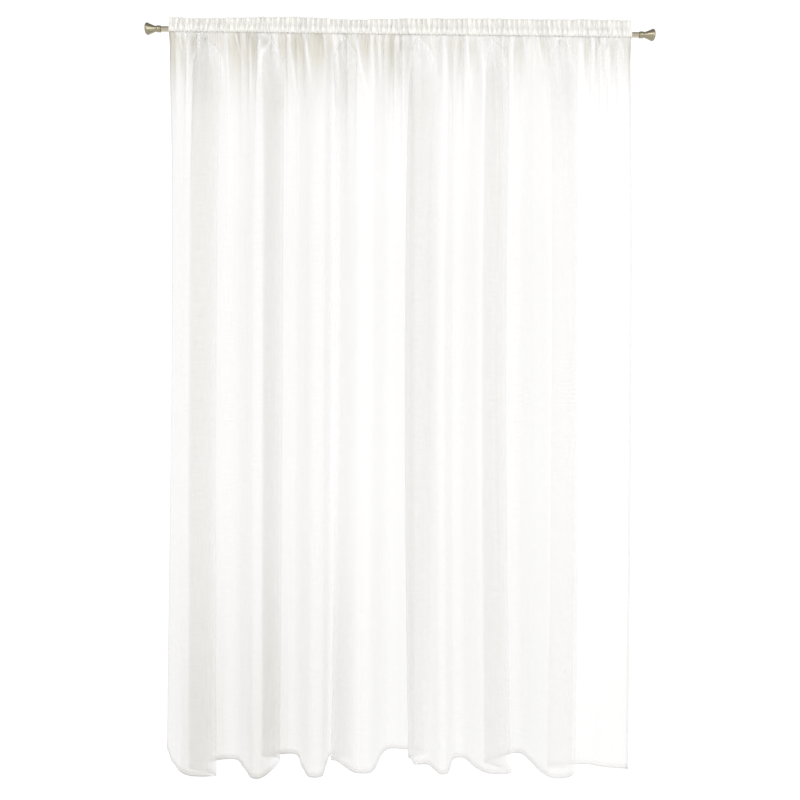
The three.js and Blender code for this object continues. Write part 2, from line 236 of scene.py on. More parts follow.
# The heading's section from the seam up to its top edge: reach in front of the rod's axis and
# behind it, height, how much of the gathers' sway it keeps, and its share of the way up the ruffle
HEADING_PROFILE = [
    {"front": 8.6, "back": -4.4, "z": -11.4, "sway": 0.45, "rise": 0.0},
    {"front": 12.2, "back": -3.0, "z": -9.8, "sway": 0.7, "rise": 0.0},
    {"front": 14.4, "back": 6.5, "z": -8.4, "sway": 0.95, "rise": 0.0},
    {"front": 16.0, "back": 10.8, "z": -5.2, "sway": 1.0, "rise": 0.0},
    {"front": 16.6, "back": 13.6, "z": -1.6, "sway": 1.0, "rise": 0.0},
    {"front": 16.6, "back": 14.6, "z": 2.2, "sway": 1.0, "rise": 0.0},
    {"front": 15.8, "back": 14.0, "z": 6.4, "sway": 1.0, "rise": 0.0},
    {"front": 13.6, "back": 10.6, "z": 10.8, "sway": 1.0, "rise": 0.0},
    {"front": 10.6, "back": 5.6, "z": 14.8, "sway": 1.0, "rise": 0.0},
    {"front": 7.6, "back": 0.8, "z": 19.0, "sway": 1.0, "rise": 0.0},
    {"front": 6.4, "back": -1.0, "z": 19.0, "sway": 0.95, "rise": 0.3},
    {"front": 5.6, "back": -1.4, "z": 19.0, "sway": 0.85, "rise": 0.6},
    {"front": 4.6, "back": -1.4, "z": 19.0, "sway": 0.75, "rise": 0.88},
    {"front": 2.8, "back": -1.8, "z": 19.0, "sway": 0.65, "rise": 1.0},
]


def uneven(index, salt):
    """A fixed unevenness from -1 to 1 for numbered gathers."""
    s = np.sin(np.asarray(index) * 127.1 + salt * 311.7) * 43758.5453
    return 2 * (s - np.floor(s)) - 1


def ease(low, high, value):
    """Rises softly from 0 at the first level to 1 at the second."""
    t = np.clip((value - low) / (high - low), 0, 1)
    return t * t * (3 - 2 * t)


def centripetal_line(points, per_turn=40):
    """A smooth line through the points, as a dense polyline."""
    p = np.vstack([2 * points[0] - points[1], points, 2 * points[-1] - points[-2]])
    t = np.linspace(0, 1, per_turn, endpoint=False)[:, None]
    pieces = []
    for a, b, c, d in zip(p[:-3], p[1:-2], p[2:-1], p[3:]):
        gaps = (b - a, c - b, d - c)
        before, along, after = (math.sqrt(np.linalg.norm(gap)) for gap in gaps)
        start = ((b - a) / before - (c - a) / (before + along) + (c - b) / along) * along
        end = ((c - b) / along - (d - b) / (along + after) + (d - c) / after) * along
        bend = -3 * b + 3 * c - 2 * start - end
        twist = 2 * b - 2 * c + start + end
        pieces.append(b + start * t + bend * t**2 + twist * t**3)
    return np.vstack([*pieces, points[-1]])


def along_line(line, shares):
    """Points at equal shares of the line's length."""
    steps = np.linalg.norm(np.diff(line, axis=0), axis=1)
    reach = np.concatenate([[0], np.cumsum(steps)]) / steps.sum()
    return np.column_stack([np.interp(shares, reach, line[:, k]) for k in range(2)])


def line_normals(points):
    """Unit normals of a line seen from above, away from the viewer on a straight curtain."""
    along = np.gradient(points, axis=0)
    along /= np.linalg.norm(along, axis=1)[:, None]
    return np.column_stack([-along[:, 1], along[:, 0]])


def read_off(table, value):
    """Reads a table of pairs as straight lines between its rows."""
    first, second = zip(*table)
    return np.interp(value, first, second)


def cloth_columns():
    """Shares of the cloth's width, spaced half by the cloth and half by its place on the heading."""
    dense = np.linspace(0, 1, 4001)
    place = read_off(HEADING_SPREAD, dense) / CURTAIN_WIDTH + 0.5
    return np.interp(np.linspace(0, 1, COLUMNS), 0.5 * dense + 0.5 * place, dense)


def gathers_at(x, turned):
    """The heading's gathers at places x, as a curling wave: how far out and how far along.

    turned runs from 0 at the seam to 1 where the ridges have leant over to new places.
    """
    last = 2 * GATHER_COUNT
    i = np.arange(last + 1)
    inner = (i > 0) & (i < last)
    shift = GATHER_SHIFT * ((1 - turned) * uneven(i, 1) + turned * uneven(i, 11)) * inner
    shift += GATHER_LEAN * (2 * turned - 1) * np.select([i % 4 == 0, i % 4 == 2], [1, -1], 0) * inner
    marks = ((i + shift) / last - 0.5) * CURTAIN_WIDTH
    tall = (1 - turned) * uneven(i, 2) + turned * 2.2 * uneven(i, 12)
    heights = np.where(i % 2 == 0, 1, -1) * (1 + GATHER_UNEVEN * tall)
    k = np.clip(np.searchsorted(marks, x, side="right") - 1, 0, last - 1)
    t = (x - marks[k]) / (marks[k + 1] - marks[k])
    out = heights[k] + (heights[k + 1] - heights[k]) * (0.5 - 0.5 * np.cos(np.pi * t))
    return out, np.sin(TURN * t)


def fine_wave(x):
    """Small puckers between the gathers."""
    s = x / CURTAIN_WIDTH
    turns = FINE_COUNT * s + 0.9 * np.sin(TURN * 9.7 * s) + 0.6 * np.sin(TURN * 23.1 * s)
    return np.sin(TURN * turns)


def pleats_at(x):
    """Irregular pleats that lean to the left: how far out and how far along."""
    s = x / CURTAIN_WIDTH
    wander = 0.42 * np.sin(TURN * 4.3 * s + 1.1) + 0.3 * np.sin(TURN * 9.1 * s)
    phase = TURN * (PLEAT_COUNT * s + wander)
    tall = 1 + 0.35 * np.sin(TURN * 6.7 * s + 2) + 0.25 * np.sin(TURN * 15.3 * s)
    out = np.sin(phase) * tall
    return out, PLEAT_LEAN * out - PLEAT_CURL * np.sin(2 * phase) * tall


def ripple_wave(u, level):
    """Soft ripples that wander slowly down the cloth."""
    wave = np.sin(TURN * (23.0 * u + 0.25 * np.sin(TURN * 5.1 * u + 0.6 * level)) + 0.9 * level)
    return wave + 0.5 * np.sin(TURN * 41.0 * u + 1.7 - 1.3 * level)


def pleat_room(x):
    """1 away from the laps and near 0 inside them."""
    room = np.ones_like(x)
    for low, high in LAP_STRETCHES:
        room *= 1 - ease(low - LAP_EDGE, low, x) * (1 - ease(high, high + LAP_EDGE, x))
    return np.maximum(room, 0.04)


def ridges_at(x, below):
    """1 on a ridge, which stands forward and carries a painted highlight, and 0 away from it, at one
    level of the cloth.
    """
    light = np.zeros_like(x)
    for start, lean, reach, half in RIDGES:
        middle = start + lean * min(1, below / min(reach, RIDGE_LEAN_REACH))
        strength = math.exp(-((below / reach) ** 4))
        light = np.maximum(light, strength * np.exp(-(((x - middle) / half) ** 2)))
    return light


def fold_line(drifted):
    """The open folds seen from above, with each turn moved by a share of its drift."""
    turns = []
    for row in FOLD_TURNS:
        middle = row["x"] + row["drift"] * drifted
        if row["flat"]:
            turns.append([middle - row["flat"], row["y"]])
        turns.append([middle + row["flat"], row["y"]])
    return centripetal_line(np.array(turns, float))


def cloth_line(u, below):
    """The cloth's line from above, at one level below the panel's top edge."""
    level = below / (PANEL_TOP - HEM_LEVEL)
    fold = along_line(fold_line(math.sin(math.pi * min(1, 0.15 + 0.85 * level))), u)
    side = 1 - math.exp(-((below / FOLD_SIDE_FADE) ** 1.5))
    deep = 1 - math.exp(-below / FOLD_DEPTH_FADE)
    hung = read_off(HEADING_SPREAD, u)
    forward = SEAM_FORWARD * math.exp(-below / SEAM_FORWARD_FADE)
    along_side = side + (deep - side) * (1 - ease(0, 0.05, u))
    middle = np.column_stack([hung + (fold[:, 0] - hung) * along_side, fold[:, 1] * deep - forward])
    gathers = GATHER_HEIGHT * (0.45 + 0.55 * ease(0, 18, below)) * math.exp(-below / GATHER_FADE)
    pleats = PLEAT_HEIGHT * (1 - math.exp(-below / PLEAT_START))
    pleats *= math.exp(-((below / PLEAT_FADE) ** 1.3))
    ripples = RIPPLE_HEIGHT * ease(60, 320, below) * (1 - 0.35 * level) * pleat_room(fold[:, 0])
    gather_out, gather_along = gathers_at(middle[:, 0], ease(0, 70, below))
    pleat_out, pleat_along = pleats_at(middle[:, 0])
    out = gathers * gather_out + pleats * pleat_out
    out += FINE_HEIGHT * math.exp(-below / FINE_FADE) * fine_wave(middle[:, 0])
    along = GATHER_CURL * math.exp(-below / GATHER_FADE) * gather_along + pleats * pleat_along
    own = line_normals(middle) * (ripples * ripple_wave(u, 3 * level))[:, None]
    return middle + np.column_stack([along, out]) + own


def fold_density(u):
    """How closely the cloth lies at each share of its width, and how it thins out at the turns."""
    line = fold_line(0.5)
    marks = [row["dense"] for row in FOLD_TURNS for _ in range(2 if row["flat"] else 1)]
    dense = np.interp(np.linspace(0, len(marks) - 1, len(line)), np.arange(len(marks)), marks)
    thin = np.ones_like(dense)
    x = line[:, 0]
    ends = [0, *(np.flatnonzero(np.diff(np.sign(np.diff(x)))) + 1), len(x) - 1]
    for before, turn, after in zip(ends[:-2], ends[1:-1], ends[2:]):
        near = slice(before, after + 1)
        soft, least = RIGHT_TURN if x[turn] > x[before] else LEFT_TURN
        thin[near] *= least + (1 - least) * ease(0, soft, abs(x[turn] - x[near]))
    steps = np.linalg.norm(np.diff(line, axis=0), axis=1)
    reach = np.concatenate([[0], np.cumsum(steps)]) / steps.sum()
    return np.interp(u, reach, dense), np.interp(u, reach, thin)


def layers_at(x):
    """How many layers of one row of cloth lie behind one another at each of its points."""
    step = 2.0
    places = np.arange(x.min() - step, x.max() + step, step)
    low, high = np.minimum(x[:-1], x[1:]), np.maximum(x[:-1], x[1:])
    counts = ((places[:, None] >= low) & (places[:, None] < high)).sum(axis=1)
    return np.maximum(np.interp(x, places, counts), 1)


def closeness_and_shade(x, u, below):
    """How many times closer the cloth lies at one level than hanging flat; this sets its density and also
    its painted shade, lighter on ridges as a painted highlight and where folds turn as painted light.
    """
    level = below / (PANEL_TOP - HEM_LEVEL)
    laps = 1 - pleat_room(x)
    light = ridges_at(x, below)
    left = 1 - ease(-350, 100, x)
    dense, thin = fold_density(u)
    # The hanging cloth: each fold's own closeness, more of it in the laps, and denser and darker towards
    # the hem, most on the left
    hung = 1 + (dense - 1) * ease(0, 200, below)
    hung *= 1 + laps * (0.12 * (1 - ease(300, 900, below)) + 0.5 * left * ease(0.65, 1, level))
    hung += 0.3 * ease(0.6, 1, level) * (0.1 + 0.9 * left)
    # The gathers: close and darker in the valleys as painted shade, more so on the curtain's left half,
    # and open and lighter on ridges as a painted highlight
    fading = math.exp(-((below / GATHERED_FADE) ** 1.3)) * (0.5 + 0.5 * ease(0, 40, below))
    valley = 1 + 0.3 * pleats_at(x)[0]
    side = 1.3 - 0.6 * ease(-80, 60, x)
    gathered = GATHERED_CLOSENESS * fading * side * valley
    gathered *= 1 - RIDGE_HIGHLIGHT * light
    gathered *= 1 - 0.3 * laps
    # Under the heading the layers of a lap share one closeness, which lower down each has in full
    shared = layers_at(x) ** (1 - ease(30, 210, below))
    # Lighter where folds turn, painted light over the shade along each turn, and lighter on ridges, a
    # painted highlight
    thin = 1 + (thin - 1) * (0.65 + 0.35 * ease(20, 120, below))
    return (hung + gathered) * thin * (1 - 0.16 * light) / shared


def grid_normals(grid):
    """Unit normals of a grid of rows and columns, away from the viewer on a flat curtain."""
    down, along = np.gradient(grid, axis=0), np.gradient(grid, axis=1)
    normals = np.cross(along, down)
    return normals / np.maximum(np.linalg.norm(normals, axis=2), 1e-12)[..., None]


def grid_piece(name, grid, across, up, crowding_and_shade, material):
    """A sheet from a grid of points in millimetres, with a UV map in millimetres of cloth."""
    rows, columns = grid.shape[:2]
    ids = np.arange(rows * columns).reshape(rows, columns)
    corners = (ids[:-1, :-1], ids[1:, :-1], ids[1:, 1:], ids[:-1, 1:])
    faces = np.stack([c.ravel() for c in corners], axis=1)
    mesh = bpy.data.meshes.new(name)
    mesh.from_pydata((grid.reshape(-1, 3) * MM).tolist(), [], faces.tolist())
    uv = mesh.uv_layers.new(name="cloth")
    flat = np.stack(np.meshgrid(across, up), axis=2).reshape(-1, 2)
    uv.data.foreach_set("uv", flat[faces.ravel()].astype(np.float32).ravel())
    crowd = mesh.attributes.new("crowding_and_shade", "FLOAT", "POINT")
    crowd.data.foreach_set("value", crowding_and_shade.astype(np.float32).ravel())
    return dressed(name, mesh, material)


def dressed(name, mesh, material):
    """Puts a finished mesh in the scene, on the curtain's one body and in its colour slot."""
    mesh.shade_smooth()
    mesh.materials.clear()
    mesh.materials.append(material)
    piece = bpy.data.objects.new(name, mesh)
    bpy.context.scene.collection.objects.link(piece)
    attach(piece, "root")
    return piece


def row_levels():
    """How far below the panel's top edge each row of its cloth lies, down to the hem."""
    levels = [0.0]
    for zone in ROW_ZONES:
        levels += list(np.arange(levels[-1] + zone["step"], zone["to"] + 0.001, zone["step"]))
    hem = PANEL_TOP - HEM_LEVEL
    return np.array(levels + [hem - BOTTOM_HEM, hem - BOTTOM_HEM / 2, hem])


def voile_grid(u, levels):
    """The hanging cloth in millimetres: rows from the heading down to the hem."""
    grid = np.empty((len(levels), len(u), 3))
    for row, below in enumerate(levels):
        grid[row, :, :2] = cloth_line(u, below)
        grid[row, :, 1] -= RIDGE_HEIGHT * ease(0, 20, below) * ridges_at(grid[row, :, 0], below)
        grid[row, :, 2] = PANEL_TOP - below
    return grid


def with_hems(grid, across, up):
    """Turns the side edges and the bottom edge back behind the cloth, as narrow hems."""
    turned = max(1, round(SIDE_HEM / (across[1] - across[0])))
    left, right = slice(turned, 0, -1), slice(-2, -2 - turned, -1)
    normals = grid_normals(grid)
    behind = grid + normals * HEM_LAYER_GAP
    wide = np.concatenate([behind[:, left], grid, behind[:, right]], axis=1)
    turns = np.concatenate([normals[:, left], normals, normals[:, right]], axis=1)
    hem = wide[-2:-4:-1] + turns[-2:-4:-1] * HEM_LAYER_GAP * BOTTOM_HEM_GAPS
    across = np.concatenate([-across[left], across, 2 * across[-1] - across[right]])
    up = np.concatenate([up, 2 * up[-1] - up[-2:-4:-1]])
    return np.concatenate([wide, hem], axis=0), across, up


def build_voile(material):
    """The hanging cloth, cut as long as the whole drop with 40 mm for its hems."""
    u, levels = cloth_columns(), row_levels()
    cloth = voile_grid(u, levels)
    grid, across, up = with_hems(cloth, u * FLAT_WIDTH, -levels)
    crowding_and_shade = np.array([closeness_and_shade(row[:, 0], u, below) for row, below in zip(cloth, levels)])
    turned = (grid.shape[1] - cloth.shape[1]) // 2
    crowding_and_shade = np.pad(crowding_and_shade, ((0, len(grid) - len(cloth)), (turned, turned)), mode="edge")
    piece = grid_piece("hanging_voile", grid, across, up, crowding_and_shade, material)
    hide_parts("voile_panel")


def heading_grid(x):
    """The heading in millimetres, and how closely its cloth lies, which also paints its light and shade:
    open and lighter on ridges, a painted highlight, close and darker in valleys, painted shade.
    """
    rows = [(p, "front", -1) for p in HEADING_PROFILE]
    rows += [(p, "back", 1) for p in reversed(HEADING_PROFILE)]
    bumps = np.sin(x / 11.0) * np.sin(x / 37.0 + 1.3)
    top = HEADER_ABOVE_AXIS + read_off(TOP_EDGE, x) + EDGE_UNEVEN * bumps
    grid = np.empty((len(rows), len(x), 3))
    close_and_shade = np.empty(grid.shape[:2])
    for row, (p, face, side) in enumerate(rows):
        z = p["z"] + (top - p["z"]) * p["rise"]
        turned = ease(-SEAM_BELOW_AXIS, HEADER_ABOVE_AXIS, float(np.mean(z)))
        out, along = gathers_at(x, turned)
        fine = fine_wave(x + side * FINE_BACK_SHIFT * (1 - p["rise"]))
        ridge = np.clip(0.5 - 0.5 * out, 0, 1) ** 2.5
        # Towards the seam the cloth opens out and looks lighter, painted light over the shade beneath the
        # heading
        seam = 1 - 0.5 * ease(-8, -10, p["z"])
        # Closer and darker in the valleys and up the ruffle as painted shade, open on ridges as a painted
        # highlight, never wider than hanging flat
        close_and_shade[row] = np.maximum(1, seam * (1.9 + 1.25 * p["rise"] - 1.7 * ridge))
        if face == "back":
            out = out * (0.25 + 0.35 * ease(-8, 0, p["z"]) + 0.4 * p["rise"])
        grid[row, :, 0] = x + GATHER_CURL * along
        grid[row, :, 1] = p["sway"] * (GATHER_HEIGHT * out + FINE_HEIGHT * fine) + side * p[face]
        grid[row, :, 2] = z
    return grid, close_and_shade


def build_heading(material):
    """The gathered sleeve round the rod with its ruffle, as one sheet up the front and down the back."""
    x = read_off(HEADING_SPREAD, cloth_columns())
    grid, close_and_shade = heading_grid(x)
    steps = np.linalg.norm(np.diff(grid, axis=0), axis=2).mean(axis=1)
    up = np.concatenate([[0], np.cumsum(steps)])
    across = (x / CURTAIN_WIDTH + 0.5) * FLAT_WIDTH
    piece = grid_piece("gathered_heading", grid, across, up, close_and_shade, material)
    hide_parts("heading_sleeve")


def lathe_mesh(name, profile, sides=64):
    """A mesh turned about the X axis from rows of radius and place along the axis, in metres."""
    angles = np.arange(sides) * TURN / sides
    points = [
        (row["along"] * MM, row["radius"] * MM * math.sin(a), row["radius"] * MM * math.cos(a))
        for row in profile
        for a in angles
    ]
    faces = []
    for ring in range(len(profile) - 1):
        for k in range(sides):
            a, b = ring * sides + k, ring * sides + (k + 1) % sides
            faces.append((a, b, b + sides, a + sides))
    last = (len(profile) - 1) * sides
    faces.append(tuple(reversed(range(sides))))
    faces.append(tuple(range(last, last + sides)))
    mesh = bpy.data.meshes.new(name)
    mesh.from_pydata(points, [], faces)
    return mesh


def rounded(profile, steps=5):
    """Softens a turned profile's corners with a smooth line through its rows."""
    points = np.array([[row["along"], row["radius"]] for row in profile], float)
    line = centripetal_line(points, steps)
    return [{"along": a, "radius": r} for a, r in line]


def mirrored(mesh):
    """Turns a mesh made for the right end of the rod over to the left end."""
    mesh.transform(Matrix.Diagonal((-1, 1, 1, 1)))
    mesh.flip_normals()


def build_rod(material):
    """The slim round rod, with the edges of its ends broken."""
    end = ROD_LENGTH / 2
    profile = [
        {"along": -end, "radius": ROD_RADIUS - ROD_END_ROUNDING},
        {"along": -end + ROD_END_ROUNDING, "radius": ROD_RADIUS},
        {"along": end - ROD_END_ROUNDING, "radius": ROD_RADIUS},
        {"along": end, "radius": ROD_RADIUS - ROD_END_ROUNDING},
    ]
    rod = dressed("metal_rod", lathe_mesh("metal_rod", profile), material)
    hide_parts("rod_tube")


def finial_profile():
    """The flared finial, from the rod's end outwards."""
    return [
        {"along": PIECE_GAP, "radius": 9.9},
        {"along": 1.2, "radius": 10.9},
        {"along": 3.4, "radius": 11.3},
        {"along": 5.6, "radius": 10.9},
        {"along": 7.0, "radius": 10.3},
        {"along": 8.4, "radius": 10.9},
        {"along": 10.6, "radius": 11.2},
        {"along": 12.8, "radius": 10.7},
        {"along": 14.8, "radius": 9.7},
        {"along": 17.4, "radius": NECK_RADIUS},
        {"along": 21.0, "radius": 10.3},
        {"along": 25.0, "radius": 11.9},
        {"along": 30.0, "radius": 13.8},
        {"along": 35.0, "radius": 15.8},
        {"along": 39.4, "radius": 17.7},
        {"along": 42.0, "radius": 18.9},
        {"along": 43.4, "radius": 19.4},
        {"along": 45.0, "radius": RIM_RADIUS},
        {"along": 46.4, "radius": 19.4},
        {"along": FINIAL_LENGTH, "radius": 18.8},
    ]


def cap_profile():
    """The domed end cap that closes the finial."""
    foot, rings = FINIAL_LENGTH + PIECE_GAP, 12
    rows = [{"along": foot, "radius": CAP_RADIUS}]
    for k in range(1, rings):
        angle = k / rings * math.pi / 2
        rows.append({"along": foot + CAP_DOME * math.sin(angle), "radius": CAP_RADIUS * math.cos(angle)})
    return rows


def build_ends(material):
    """A finial and its cap on each end of the rod, made for the right and turned over for the left."""
    rows = {"finial": rounded(finial_profile()), "end_cap": cap_profile()}
    for side in ("left", "right"):
        for kind, profile in rows.items():
            mesh = lathe_mesh(f"metal_{kind}_{side}", profile)
            mesh.transform(Matrix.Translation((ROD_LENGTH / 2 * MM, 0, 0)))
            if side == "left":
                mirrored(mesh)
            piece = dressed(f"metal_{kind}_{side}", mesh, material)
            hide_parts(f"{kind}_{side}")


def linear(code):
    """A linear colour from an sRGB hex code."""
    parts = [int(code[k:k + 2], 16) / 255 for k in (1, 3, 5)]
    return [*(c / 12.92 if c <= 0.04045 else ((c + 0.055) / 1.055) ** 2.4 for c in parts), 1.0]


def add(tree, kind, inputs=(), **settings):
    """Adds a node with its settings, and links or sets its inputs by name or number."""
    node = tree.nodes.new(kind)
    for key, value in settings.items():
        setattr(node, key, value)
    for key, value in dict(inputs).items():
        if isinstance(value, bpy.types.NodeSocket):
            tree.links.new(value, node.inputs[key])
        else:
            node.inputs[key].default_value = value
    return node


def new_material(name):
    """An empty material and its node tree."""
    material = bpy.data.materials.new(name)
    material.use_nodes = True
    material.node_tree.nodes.clear()
    return material, material.node_tree


def sum_of(tree, first, second):
    """Two values added by a node."""
    return add(tree, "ShaderNodeMath", {0: first, 1: second}, operation="ADD").outputs[0]


def scaled(tree, value, by):
    """A value multiplied by a node."""
    return add(tree, "ShaderNodeMath", {0: value, 1: by}, operation="MULTIPLY").outputs[0]


def threads(tree, value, pitch):
    """Threads side by side at a pitch in millimetres, as a wave from -1 to 1."""
    turns = scaled(tree, value, TURN / pitch)
    return add(tree, "ShaderNodeMath", {0: turns}, operation="SINE").outputs[0]


def cloth_material(name, shade, cover, glow):
    """Sheer voile: a fine plain weave whose gaps show what lies behind, and whose threads glow.

    cover is the share of a flat layer that its threads fill, and glow the share of their light
    that comes through from behind.
    """
    material, tree = new_material(name)
    uv = add(tree, "ShaderNodeUVMap", uv_map="cloth").outputs["UV"]
    place = add(tree, "ShaderNodeSeparateXYZ", {0: uv})
    across = threads(tree, place.outputs[0], WARP_PITCH)
    down = threads(tree, place.outputs[1], WEFT_PITCH)
    weave = sum_of(tree, across, down)
    slubs = []
    for scale in SLUB_SCALES:
        stretch = add(tree, "ShaderNodeVectorMath", {0: uv, 1: scale}, operation="MULTIPLY")
        noise = add(tree, "ShaderNodeTexNoise", {0: stretch.outputs[0], "Scale": 1.0, "Detail": 3.0})
        slubs.append(noise.outputs[0])
    slub = sum_of(tree, *slubs)
    dense = sum_of(tree, scaled(tree, weave, WEAVE_SHARE), scaled(tree, slub, SLUB_SHARE))
    open_share = 1 + SLUB_SHARE - cover
    loose = add(tree, "ShaderNodeMath", {0: open_share, 1: dense}, operation="SUBTRACT").outputs[0]
    # The closer the cloth is gathered, the more of its gaps are closed
    crowding_and_shade = add(tree, "ShaderNodeAttribute", attribute_name="crowding_and_shade").outputs["Fac"]
    gap = add(tree, "ShaderNodeMath", {0: loose, 1: crowding_and_shade}, operation="POWER").outputs[0]
    density = add(tree, "ShaderNodeMath", {0: 1.0, 1: gap}, operation="SUBTRACT").outputs[0]
    bump = add(tree, "ShaderNodeBump", {"Strength": 0.25, "Distance": 0.0001, "Height": weave})
    tone = add(tree, "ShaderNodeMix", {0: slub, 6: linear(shade[0]), 7: linear(shade[1])},
               data_type="RGBA")
    # Painted shade: where the cloth is gathered its colour darkens towards a warmer grey, standing in for
    # the shade its layers cast on one another
    painted_shade_share = add(tree, "ShaderNodeMapRange", {0: crowding_and_shade, 1: SHADE_START, 2: SHADE_FULL})
    shaded = add(tree, "ShaderNodeMix",
                 {0: painted_shade_share.outputs[0], 6: tone.outputs[2], 7: linear("#dad7cd")}, data_type="RGBA")
    yarn = add(tree, "ShaderNodeBsdfPrincipled", {
        "Base Color": shaded.outputs[2],
        "Roughness": 0.62,
        "Specular IOR Level": 0.25,
        "Sheen Weight": 0.15,
        "Normal": bump.outputs[0],
    })
    through = add(tree, "ShaderNodeBsdfTranslucent", {"Color": shaded.outputs[2]})
    lit = add(tree, "ShaderNodeMixShader", {0: glow, 1: yarn.outputs[0], 2: through.outputs[0]})
    gaps = add(tree, "ShaderNodeBsdfTransparent")
    sheer = add(tree, "ShaderNodeMixShader", {0: density, 1: gaps.outputs[0], 2: lit.outputs[0]})
    add(tree, "ShaderNodeOutputMaterial", {0: sheer.outputs[0]})
    return material


def thread_material():
    """Polyester sewing thread: matte off-white with a twist."""
    material, tree = new_material("polyester_thread")
    place = add(tree, "ShaderNodeTexCoord").outputs["Object"]
    noise = add(tree, "ShaderNodeTexNoise", {0: place, "Scale": 900.0, "Detail": 2.0})
    tone = add(tree, "ShaderNodeMix",
               {0: noise.outputs[0], 6: linear("#f3f0e9"), 7: linear("#fbf9f4")}, data_type="RGBA")
    bump = add(tree, "ShaderNodeBump",
               {"Strength": 0.3, "Distance": 0.0001, "Height": noise.outputs[0]})
    yarn = add(tree, "ShaderNodeBsdfPrincipled", {
        "Base Color": tone.outputs[2],
        "Roughness": 0.55,
        "Normal": bump.outputs[0],
    })
    add(tree, "ShaderNodeOutputMaterial", {0: yarn.outputs[0]})
    return material


def metal_material(name, shades, rough):
    """Satin champagne nickel plate: warm, faintly brushed round the axis, a little uneven in tone."""
    material, tree = new_material(name)
    place = add(tree, "ShaderNodeTexCoord").outputs["Object"]
    fine = add(tree, "ShaderNodeVectorMath", {0: place, 1: BRUSHING_SCALE}, operation="MULTIPLY")
    brushed = add(tree, "ShaderNodeTexNoise", {0: fine.outputs[0], "Scale": 1.0, "Detail": 3.0})
    cloud = add(tree, "ShaderNodeTexNoise", {0: place, "Scale": 45.0, "Detail": 3.0})
    tone = add(tree, "ShaderNodeMix",
               {0: cloud.outputs[0], 6: linear(shades[0]), 7: linear(shades[1])}, data_type="RGBA")
    gloss = add(tree, "ShaderNodeMapRange", {0: brushed.outputs[0], 3: rough - 0.03, 4: rough + 0.05})
    bump = add(tree, "ShaderNodeBump",
               {"Strength": 0.06, "Distance": 0.0001, "Height": brushed.outputs[0]})
    metal = add(tree, "ShaderNodeBsdfPrincipled", {
        "Base Color": tone.outputs[2],
        "Metallic": 1.0,
        "Roughness": gloss.outputs[0],
        "Normal": bump.outputs[0],
    })
    add(tree, "ShaderNodeOutputMaterial", {0: metal.outputs[0]})
    return material


def stitch_tree():
    """Geometry Nodes: short thread stitches laid end to end along the seams' lines."""
    tree = bpy.data.node_groups.new("stitches", "GeometryNodeTree")
    face = tree.interface
    face.new_socket("Geometry", in_out="INPUT", socket_type="NodeSocketGeometry")
    for name in ("Pitch", "Length", "Thickness"):
        face.new_socket(name, in_out="INPUT", socket_type="NodeSocketFloat")
    face.new_socket("Thread", in_out="INPUT", socket_type="NodeSocketMaterial")
    face.new_socket("Geometry", in_out="OUTPUT", socket_type="NodeSocketGeometry")
    given = add(tree, "NodeGroupInput").outputs
    curve = add(tree, "GeometryNodeMeshToCurve", {0: given["Geometry"]})
    spaced = add(tree, "GeometryNodeResampleCurve",
                 {"Curve": curve.outputs[0], "Length": given["Pitch"]}, mode="LENGTH")
    along = add(tree, "GeometryNodeInputTangent")
    turned = add(tree, "FunctionNodeAlignRotationToVector", {"Vector": along.outputs[0]}, axis="Z")
    radius = scaled(tree, given["Thickness"], 0.5)
    stitch = add(tree, "GeometryNodeMeshCylinder",
                 {"Vertices": 5, "Radius": radius, "Depth": given["Length"]})
    placed = add(tree, "GeometryNodeInstanceOnPoints", {
        "Points": spaced.outputs[0],
        "Instance": stitch.outputs[0],
        "Rotation": turned.outputs[0],
    })
    real = add(tree, "GeometryNodeRealizeInstances", {0: placed.outputs[0]})
    sewn = add(tree, "GeometryNodeSetMaterial",
               {"Geometry": real.outputs[0], "Material": given["Thread"]})
    add(tree, "NodeGroupOutput", {0: sewn.outputs[0]})
    return tree


def grown(name, lines, tree, values):
    """A plain mesh that a Geometry Nodes tree makes along lines of points in millimetres."""
    points, edges = [], []
    for line in lines:
        edges += [(k, k + 1) for k in range(len(points), len(points) + len(line) - 1)]
        points += (np.asarray(line) * MM).tolist()
    path = bpy.data.meshes.new(name + "_path")
    path.from_pydata(points, edges, [])
    seed = bpy.data.objects.new(name + "_path", path)
    bpy.context.scene.collection.objects.link(seed)
    modifier = seed.modifiers.new(name, "NODES")
    modifier.node_group = tree
    sockets = {item.name: item.identifier for item in tree.interface.items_tree
               if item.item_type == "SOCKET" and item.in_out == "INPUT"}
    for key, value in values.items():
        modifier[sockets[key]] = value
    graph = bpy.context.evaluated_depsgraph_get()
    mesh = bpy.data.meshes.new_from_object(seed.evaluated_get(graph))
    mesh.name = name
    seed.modifiers.remove(modifier)
    bpy.data.objects.remove(seed)
    return mesh


def seam_lines():
    """Lines of the machine stitching, just proud of the cloth's front."""
    u, levels = cloth_columns(), row_levels()
    grid = voile_grid(u, levels)
    grid = grid - grid_normals(grid) * STITCH_PROUD
    turned = max(1, round(SIDE_HEM / (u[1] * FLAT_WIDTH)))
    seam = heading_grid(read_off(HEADING_SPREAD, u))[0][1] + [0, -STITCH_PROUD, 0]
    return [grid[-3], grid[:, turned], grid[:, -1 - turned], seam]


def build_stitches(material):
    """The machine stitching of the seam and the hems, as one piece."""
    values = {
        "Pitch": STITCH_PITCH * MM,
        "Length": STITCH_LENGTH * MM,
        "Thickness": STITCH_THICKNESS * MM,
        "Thread": material,
    }
    mesh = grown("machine_stitches", seam_lines(), stitch_tree(), values)
    dressed("machine_stitches", mesh, material)


